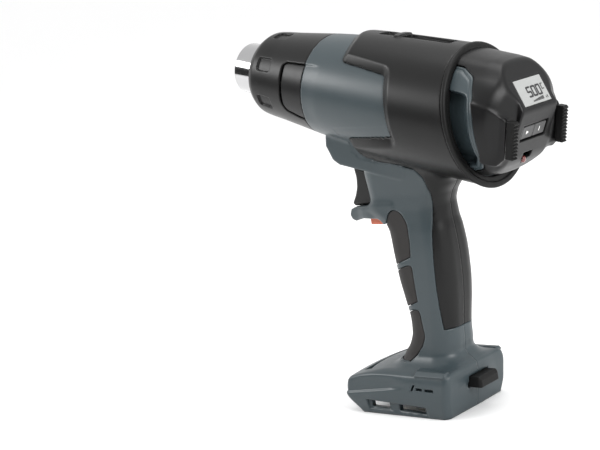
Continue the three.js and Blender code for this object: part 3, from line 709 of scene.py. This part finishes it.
def cover_form(p):
    """The cover's outer skin, and its zone on the barrel."""
    zone = cover_zone(p)
    rise = smin(0.55 - 0.62 * zone, np.float32(COVER_STEP), 0.6)
    around = p.r - barrel_radius(p.hx) - most(rise, 0.05)
    bridge = block(p.hx, p.y, p.hz, (13, 0, 40.9), (2.1, 7.4, 1.15), 1.4)
    pockets = least(
        block(p.hx, p.y, p.hz, (4.3, 0, 45), (6, 5.4, 6.75), 0.8),
        block(p.hx, p.y, p.hz, (34.5, 0, 45), (18.4, 5.4, 6.6), 0.8),
    )
    around = smax(smin(around, bridge, 1), -pockets, 0.5)
    return smin(around, grip(p), 5), zone


def cover(p):
    skin, zone = cover_form(p)
    skin = smax(skin, least(cover_band(p, zone), palm_zone(p)), 0.5)
    return most(
        skin, 0.12 - barrel(p), -SKIN - grip(p), GAP - neck(p), behind(p, HOOD_FRONT - 0.12)
    )


halves(
    "cover", "housing", BLACK, cover, (-33, 0, -160), (90, 43.5, 46), 0.72, HEAD,
    0.03,
)

for name, points in PAD_OUTLINES.items():

    def pad(p, points=points):
        return most(smax(grip(p), outline(p.x, p.z, points), 0.8), -SKIN - grip(p))

    shape(name, "housing", PAD, pad, (-11, -20.5, 28), (20, 20.5, 136), 0.55,
          node=name)

# ------------------------------------------------------------------ guard, collar, tubes

GUARD_UNROLL = 31.0
GDEG = math.radians(1) * GUARD_UNROLL
guard_radius = smooth_line([
    [-102, 17.0], [-100.5, 19.4], [-98.8, 22.4], [-95.6, 25.6], [-91, 28], [-75, 29.7],
    [-43.9, 33.2],
])
NOTCH = rounded([
    [-64, 62 * GDEG, 3.5], [-60.5, 57.5 * GDEG, 3], [-30, 57 * GDEG], [-30, 127 * GDEG],
    [-49, 125 * GDEG, 4], [-61, 120 * GDEG, 5], [-64, 109 * GDEG, 8],
])
DIMPLE_COUNT = 7
DIMPLES = [14 + 360 / DIMPLE_COUNT * i for i in range(DIMPLE_COUNT)]


def notch(p):
    inside = outline(p.hx, p.unrolled(GUARD_UNROLL), NOTCH)
    return most(inside, p.y + 8)


def guard(p):
    radius = guard_radius(p.hx)
    thick = 2 + 1.2 * (1 - fade(p.hx, -73, -66))
    wall = most(p.r - radius, most(radius - thick, 18) - p.r)
    wall = smax(wall, np.abs(p.hx + 72.2) - 28.3, 0.8)
    angle = np.degrees(np.arctan2(-p.y, p.hz)) % 360
    for centre in DIMPLES:
        across = (np.abs((angle - centre + 180) % 360 - 180)) * GDEG - 4.75
        along = np.abs(p.hx + 81) - 6
        wall = smax(wall, -most(smax(across, along, 2.2), radius - 1.2 - p.r), 0.5)
    return smax(wall, -notch(p), 0.6)


shape("guard_sleeve", "guard", BLACK, guard, (-102, -35, -35), (-42, 35, 35), 0.62, HEAD,
      node="guard_sleeve")


def collar(p):
    ring = smax(np.abs(p.r - 28.5) - 1.1, np.abs(p.hx + 41.2) - 16.6, 0.4)
    top = 30.4 + (p.hx + 64) * 0.105
    tongue = most(smax(p.r - top, notch(p) + 0.55, 1.0), 28.4 - p.r, p.hx + 43.9, -62.1 - p.hx)
    return least(ring, tongue)


shape("front_collar", "housing", CAP, collar, (-66, -34, -34), (-22, 34, 34), 0.62, HEAD,
      node="front_collar")

turned("outlet_tube", "housing", CHROME, [
    [-117.3, 16.62], [-117.25, 16.8], [-117.05, 16.93], [-116.7, 17], [-34, 17], [-34, 16.2],
    [-116.7, 16.2], [-117.05, 16.27], [-117.25, 16.42],
], "outlet_tube")


def hood(p):
    """A rounded ring between two leaning planes, with a sleeve inside its front part."""
    length = most(behind(p, HOOD_REAR), -behind(p, HOOD_FRONT + 0.12))
    ring = smax(smax(p.r - 42.85, length, 1.8), 39 - p.r, 0.5)
    sleeve = most(np.abs(p.r - 38) - 2, behind(p, HOOD_REAR - 0.9), -behind(p, HOOD_FRONT + 0.12))
    return least(ring, sleeve)


shape("intake_hood", "housing", RUBBER, hood, (58, -43.6, -43.6), (94, 43.6, 43.6), 0.6, HEAD,
      node="intake_hood")

# ------------------------------------------------------------------ rear cap, scoops and feet

CAP_BODY = [  # position, half width, top, bottom, power
    [60, 38.4, 38.4, -38.4, 2], [70, 38.4, 38.2, -38, 2], [82, 38.8, 37, -36, 2.05],
    [92, 38.6, 36, -32.5, 2.1], [100, 36.6, 34.6, -29.5, 2.2], [105.5, 31.5, 31, -27.6, 2.4],
    [109, 25, 26.5, -23.6, 2.5], [112, 18, 20, -18, 2.5],
]
CAP_BLOCK = [
    [90, 20, 35.9, -29.6, 5], [108, 18.5, 34, -27.4, 5], [124, 16.5, 30, -26, 5],
]


def lofted(stations):
    """A form along the air axis whose sections are superellipses."""
    lines = [smooth_line([[row[0], row[i]] for row in stations]) for i in (1, 2, 3, 4)]

    def form(p):
        half, top, bottom, power = (line(p.hx) for line in lines)
        middle, rise = (top + bottom) / 2, (top - bottom) / 2
        a = (p.w / half) ** power + (np.abs(p.hz - middle) / rise) ** power
        return (a ** (1 / power) - 1) * least(half, rise)

    return form


cap_body, cap_block = lofted(CAP_BODY), lofted(CAP_BLOCK)
SCOOP = rounded([
    [58, 33], [75, 32.6, 5], [84.8, 28.4, 7], [90.5, 18.7, 14], [93.7, 8.2, 20],
    [96.2, -5.9, 30], [98, -18, 7], [93, -26.5, 7], [80, -31, 7], [58, -32],
])
EAR = rounded([
    [86, 17.5], [98, 13, 6], [109.5, 8.6, 3], [111.2, 7, 1], [111.2, -16, 1.5],
    [106.5, -20.5, 3], [99, -20, 4], [86, -13],
])


EAR_LEAN = math.radians(24)
EAR_AT, EAR_OUT = 101.6, 31.2


def ear(p):
    """A plate that leans in towards the rear, with a stand foot at its end."""
    out, along = p.w - EAR_OUT, p.hx - EAR_AT
    depth = along * math.sin(EAR_LEAN) + out * math.cos(EAR_LEAN)
    reach = EAR_AT + along * math.cos(EAR_LEAN) - out * math.sin(EAR_LEAN)
    return smax(outline(reach, p.hz, EAR), np.abs(depth + 1.2) - 2.9, 1.2)


LENS_HEIGHT = -22.6


def rear_faces(p, inset=0.0):
    """How far a point lies outside the display, key and chin planes."""
    display, keys, chin = (p.local(place)[0] + inset for place in (DISPLAY, KEYS, CHIN))
    return smax(smax(display, keys, 2.0), chin, 2.0)


def cap_form(p):
    """The rear cap's outer form with its ears, before its openings."""
    ends = most(-behind(p, HOOD_REAR - 0.6), p.hx - 118)
    domed = smax(smin(cap_body(p), cap_block(p), 6), rear_faces(p), 1.6)
    return most(smin(domed, ear(p), 3.5), ends)


def cap(p):
    hollow = most(least(cap_body(p), cap_block(p)) + 2.3, rear_faces(p, 2.4))
    scoop = most(outline(p.hx, p.hz, SCOOP), 20 - p.w)
    d, k = p.local(DISPLAY), p.local(KEYS)
    glass = block(d[0], d[1], d[2], (2, 0, 0), (3.2, 14.2, 8.7), 0.5)
    keys = block(k[0], k[1], k[2], (0, 0, 0), (6, 12.6, 4.35), 0.5)
    frame_round = block(k[0], k[1], k[2], (3, 0, 0.2), (5.2, 13.5, 5.3), 0.8)
    slot = block(k[0], k[1], k[2], (0, 0, -16.2), (6, 4.6, 2.3), 0.5)
    lens = np.hypot(p.y, p.hz - LENS_HEIGHT) - 2.3
    openings = least(glass, keys, frame_round, slot, most(lens, 98 - p.hx))
    body = smax(cap_form(p), -hollow, 0.4)
    body = smax(body, -scoop, 0.6)
    return smax(body, -openings, 0.35)


shape("rear_cap", "housing", CAP, cap, (64, -40, -40), (118, 40, 40), 0.62, HEAD,
      node="rear_cap")


def scoop(p):
    """A thin dished panel that leads air forward under the hood."""
    edge = outline(p.hx, p.hz, SCOOP) + GAP
    inner = fade(-edge, 2.2, 7.5)
    hollow = 6.8 * (1 - fade(behind(p, HOOD_REAR), -4, 19)) + 1.0
    span = fade(p.hz, -29, -19) * (1 - 0.96 * fade(p.hz, 17, 20.5))
    line = 0.4 * np.exp(-(((edge + 1.8) / 0.5) ** 2))
    surface = cap_body(p) + 0.15 + inner * hollow * span + line
    front = least(-behind(p, HOOD_REAR - 0.6), most(-behind(p, HOOD_FRONT - 6), p.r - 34.6))
    return smax(smax(surface, edge, 0.5), most(-surface - 1.5, front), 0.4)


for side, start, end in (("left", -40, -20.4), ("right", 20.4, 40)):

    def one_side(p, side=side):
        return most(scoop(p), 20.4 - (p.y if side == "right" else -p.y))

    shape(f"intake_scoop_{side}", "housing", GREY, one_side, (64, start - 1, -34),
          (103, end + 1, 34), 0.5, HEAD, node=f"intake_scoop_{side}")

RIBS = 11
RIB_PITCH = 22.8 / RIBS
FOOT_OUT = 26.55

for side, sign in (("left", -1), ("right", 1)):

    def foot(p, sign=sign):
        w = p.y * sign
        ribs = 0.55 * np.sin((p.hz + 15.5) * 2 * math.pi / RIB_PITCH)
        body = block(p.hx, w, p.hz, (114.3, FOOT_OUT, -4.1), (2.9, 2.6, 11.35), 0.7)
        return smax(body, (p.hx - 116.7 - ribs) * 0.7, 0.2)

    shape(f"stand_foot_{side}", "housing", RUBBER, foot,
          (111, sign * FOOT_OUT - 3.2, -16.1), (117.8, sign * FOOT_OUT + 3.2, 7.9), 0.2, HEAD,
          node=f"stand_foot_{side}")


def foot_block(p):
    body = block(p.x, p.y, p.z, (44, 0, 18.85), (5.5, 9.9, 3.55), 0.9)
    top = ((p.x - 49.5) + (p.z - 22.4) * 0.9 + 1.7) * 0.74
    ends = (p.w - 9.9 + (p.x - 49.5) * 0.55 + 0.9) * 0.87
    return smax(smax(body, top, 0.5), ends, 0.5)


shape("rear_foot_block", "housing", RUBBER, foot_block, (37.8, -11, 14.5), (50.3, 11, 23.2), 0.3,
      node="rear_foot_block")

# ------------------------------------------------------------------ display, keys, lens


def glass(p):
    u, v, w = p.local(DISPLAY)
    return block(u, v, w, (-0.6, 0, 0), (0.6, 13.9, 8.35), 0.35)


shape("display_window", "housing", GLASS, glass, (-1.6, -14.4, -8.9), (0.4, 14.4, 8.9), 0.22,
      DISPLAY, node="display_window")

SEGMENTS = {
    "a": ((0, 1), (1, 1)), "b": ((1, 0), (1, 1)), "c": ((1, -1), (1, 0)), "d": ((0, -1), (1, -1)),
    "e": ((0, -1), (0, 0)), "f": ((0, 0), (0, 1)), "g": ((0, 0), (1, 0)),
}
FIGURES = {"5": "afgcd", "0": "abcdef", "C": "afed"}


def strokes():
    """Bars of the display: three figures, a small unit sign and a rising wedge."""
    bars = []
    for figure, left, size in (("5", -5.2, 1), ("0", -0.3, 1), ("0", 4.6, 1), ("C", 9.8, 0.55)):
        wide, tall = 3.3 * size, 2.95 * size
        base = -0.4 if size == 1 else 1.0
        for name in FIGURES[figure]:
            (a, b), (c, d) = SEGMENTS[name]
            bars.append((
                left + a * wide, base + b * tall, left + c * wide, base + d * tall, 0.58 * size + 0.02,
            ))
    for i in range(12):
        x = -3.4 + i * 0.95
        bars.append((x, -6.6, x, -6.3 + 0.15 * i, 0.36))
    bars.append((10.0, -6.6, 10.0, -5.5, 0.3))
    bars.append((11.4, -6.6, 11.4, -5.0, 0.3))
    return bars


def digits(p):
    u, v, w = p.local(DISPLAY)
    ink = np.full(u.shape, FAR, np.float32)
    for x0, z0, x1, z1, half in strokes():
        eu, ev = x1 - x0, z1 - z0
        t = np.clip(((v - x0) * eu + (w - z0) * ev) / (eu * eu + ev * ev), 0.08, 0.92)
        ink = least(ink, np.hypot(v - x0 - eu * t, w - z0 - ev * t) - half)
    return most(ink, np.abs(u - 0.02) - 0.07)


shape("display_figures", "housing", INK, digits, (-0.2, -7, -7.6), (0.25, 13, 4), 0.13, DISPLAY)

KEY_FACE = -0.5
KEY_DISH = 0.012
KEY_SPOTS = {"mode_key": ("mode_button", -12.3, -0.2), "minus_key": ("minus_button", 0.2, 12.3)}
for name, (body, y0, y1) in KEY_SPOTS.items():

    def key(p, y0=y0, y1=y1):
        u, v, w = p.local(KEYS)
        face = block(u, v, w, (KEY_FACE - 2, (y0 + y1) / 2, 0), (2, (y1 - y0) / 2, 4.05), 0.8)
        dish = (u - KEY_FACE + 0.25 - KEY_DISH * (v - (y0 + y1) / 2) ** 2) * 0.98
        return smax(face, dish, 0.3)

    shape(name, body, KEY, key, (-5, y0 - 0.5, -4.6), (0, y1 + 0.5, 4.6), 0.24, KEYS,
          node=name)

ARROW = rounded([[-7.6, 1.3, 0.3], [-7.6, -1.3, 0.3], [-5.0, 0, 0.3]])


def key_surface(u, v, middle):
    """A thin sheet that lies on a key's dished face."""
    return np.abs(u - KEY_FACE + 0.19 - KEY_DISH * (v - middle) ** 2) - 0.08


def arrow(p):
    u, v, w = p.local(KEYS)
    return most(outline(v, w, ARROW), key_surface(u, v, -6.25))


def upright_bar(p):
    u, v, w = p.local(KEYS)
    return most(smax(np.abs(v - 6.25) - 0.35, np.abs(w) - 1.5, 0.2), key_surface(u, v, 6.25))


shape("mode_key_sign", "mode_button", ICON, arrow, (-1.2, -8.2, -1.8), (0, -4.4, 1.8), 0.13, KEYS)
shape("minus_key_sign", "minus_button", ICON, upright_bar, (-1.2, 5.4, -1.9), (0, 7.1, 1.9),
      0.13, KEYS)


def lens(p):
    off = np.hypot(p.y, p.hz - LENS_HEIGHT)
    return smax(off - 2, np.abs(p.hx - 104.9) - 1.8 + 0.12 * off**2 * (p.hx > 104.9), 0.4)


shape("status_lens", "housing", LENS, lens, (102.6, -2.5, -25.2), (107.4, 2.5, -20), 0.16, HEAD,
      node="status_lens")

# ------------------------------------------------------------------ trigger, lock and screws

TRIGGER_OUTLINE = rounded([
    [-29.5, 161.6, 2], [-28.4, 154, 8], [-29.0, 148, 10], [-31.2, 142.4, 10], [-34.8, 136.6, 3],
    [-33.0, 134.7, 1.2], [-19, 135.2], [-10, 135.4], [-10, 154.5], [-18, 157.4],
])


def trigger(p):
    return smax(outline(p.x, p.z, TRIGGER_OUTLINE), p.w - 8.6, 2.8)


shape("trigger", "trigger_lever", TRIGGER, trigger, (-35.5, -9.4, 134), (-9, 9.4, 162.5), 0.42,
      node="trigger")


def lock_button(p):
    return block(p.x, p.y, p.z, (-18.4, 0, 125.05), (5.15, 6, 3.55), 1.1)


shape("lock_button", "lock", ORANGE, lock_button, (-24.2, -6.6, 120.9), (-12.6, 6.6, 129.2), 0.3,
      node="lock_button")

for number, (x, z, reach) in enumerate(SCREWS, 1):

    def screw(p, x=x, z=z, reach=reach):
        u, v = p.x - x, p.z - z
        off = np.hypot(u, v)
        base = reach - SCREW_HEAD + GAP
        head = smax(off - 2.6, np.abs(p.y - base - 1.15) - 1.15 + 0.05 * off**2, 0.4)
        cross = least(most(np.abs(u) - 0.35, np.abs(v) - 1.5), most(np.abs(v) - 0.35, np.abs(u) - 1.5))
        shank = most(off - 1.4, -7.5 - p.y, p.y - base - 0.6)
        return least(most(head, -most(cross, base + 1.1 - p.y)), shank)

    name = f"housing_screw_{number}"
    shape(name, "housing", STEEL, screw, (x - 3, -8, z - 3), (x + 3, reach - 4, z + 3), 0.3,
          node=name)

# ------------------------------------------------------------------ pieces kept from the CAD

for part in frame["record"]["subparts"]:
    kept = frame["nodes"][part["node"]]
    if not kept.hide_render:
        kept.data.materials.clear()
        kept.data.materials.append(BY_SLOT[part["material_slot"]])

# ------------------------------------------------------------------ floor and light

FLAT, RIM, RISE = 2.2, 5.0, 1.3
AROUND, RINGS = 96, 24

# A pale round sweep: flat under the gun and rising far round it, so that no horizon shows.
floor_rings = []
for reach in (FLAT, *np.linspace(FLAT, RIM, RINGS)[1:]):
    climb = (reach - FLAT) / (RIM - FLAT)
    floor_rings.append([
        (reach * math.cos(2 * math.pi * i / AROUND), reach * math.sin(2 * math.pi * i / AROUND),
         RISE * climb * climb)
        for i in range(AROUND)
    ])
floor_faces = [tuple(range(AROUND))]
for ring in range(len(floor_rings) - 1):
    for i in range(AROUND):
        a, b = ring * AROUND + i, ring * AROUND + (i + 1) % AROUND
        floor_faces.append((a, a + AROUND, b + AROUND, b))
floor_mesh = bpy.data.meshes.new("floor")
floor_mesh.from_pydata([point for ring in floor_rings for point in ring], [], floor_faces)
floor_mesh.shade_smooth()
floor = bpy.data.objects.new("floor", floor_mesh)
floor.location.z = -0.0003
floor_mesh.materials.append(FLOOR)
bpy.context.scene.collection.objects.link(floor)

# A low dark screen bends round the camera's side, so that the gun's flanks mirror some shade.
SCREEN_REACH, SCREEN_HIGH = 1.9, 0.85
SCREEN_PANELS = 26
screen_points = [
    (SCREEN_REACH * math.cos(math.radians(a)), SCREEN_REACH * math.sin(math.radians(a)), z)
    for a in np.linspace(-28, -158, SCREEN_PANELS + 1)
    for z in (0.0, SCREEN_HIGH)
]
screen_mesh = bpy.data.meshes.new("screen")
screen_faces = [(2 * i, 2 * i + 1, 2 * i + 3, 2 * i + 2) for i in range(SCREEN_PANELS)]
screen_mesh.from_pydata(screen_points, [], screen_faces)
screen_mesh.materials.append(SCREEN)
screen = bpy.data.objects.new("screen", screen_mesh)
bpy.context.scene.collection.objects.link(screen)

world = bpy.data.worlds.new("studio")
world.use_nodes = True
world.node_tree.nodes["Background"].inputs["Color"].default_value = (1, 1, 1, 1)
world.node_tree.nodes["Background"].inputs["Strength"].default_value = 1.0
bpy.context.scene.world = world


def softbox(name, place, target, size, power):
    data = bpy.data.lights.new(name, "AREA")
    data.shape = "RECTANGLE"
    data.size, data.size_y = size
    data.energy = power
    obj = bpy.data.objects.new(name, data)
    obj.location = place
    obj.rotation_euler = (Vector(target) - Vector(place)).to_track_quat("-Z", "Y").to_euler()
    bpy.context.scene.collection.objects.link(obj)


CENTRE = (0, 0, 0.14)
softbox("key_light", (1.6, -0.3, 0.95), CENTRE, (0.8, 0.8), 22)
softbox("left_light", (-1.3, -1.0, 0.95), CENTRE, (0.9, 0.5), 16)
softbox("top_light", (0.1, 0.2, 1.6), CENTRE, (0.9, 0.9), 10)

bpy.context.scene.view_settings.view_transform = "Standard"
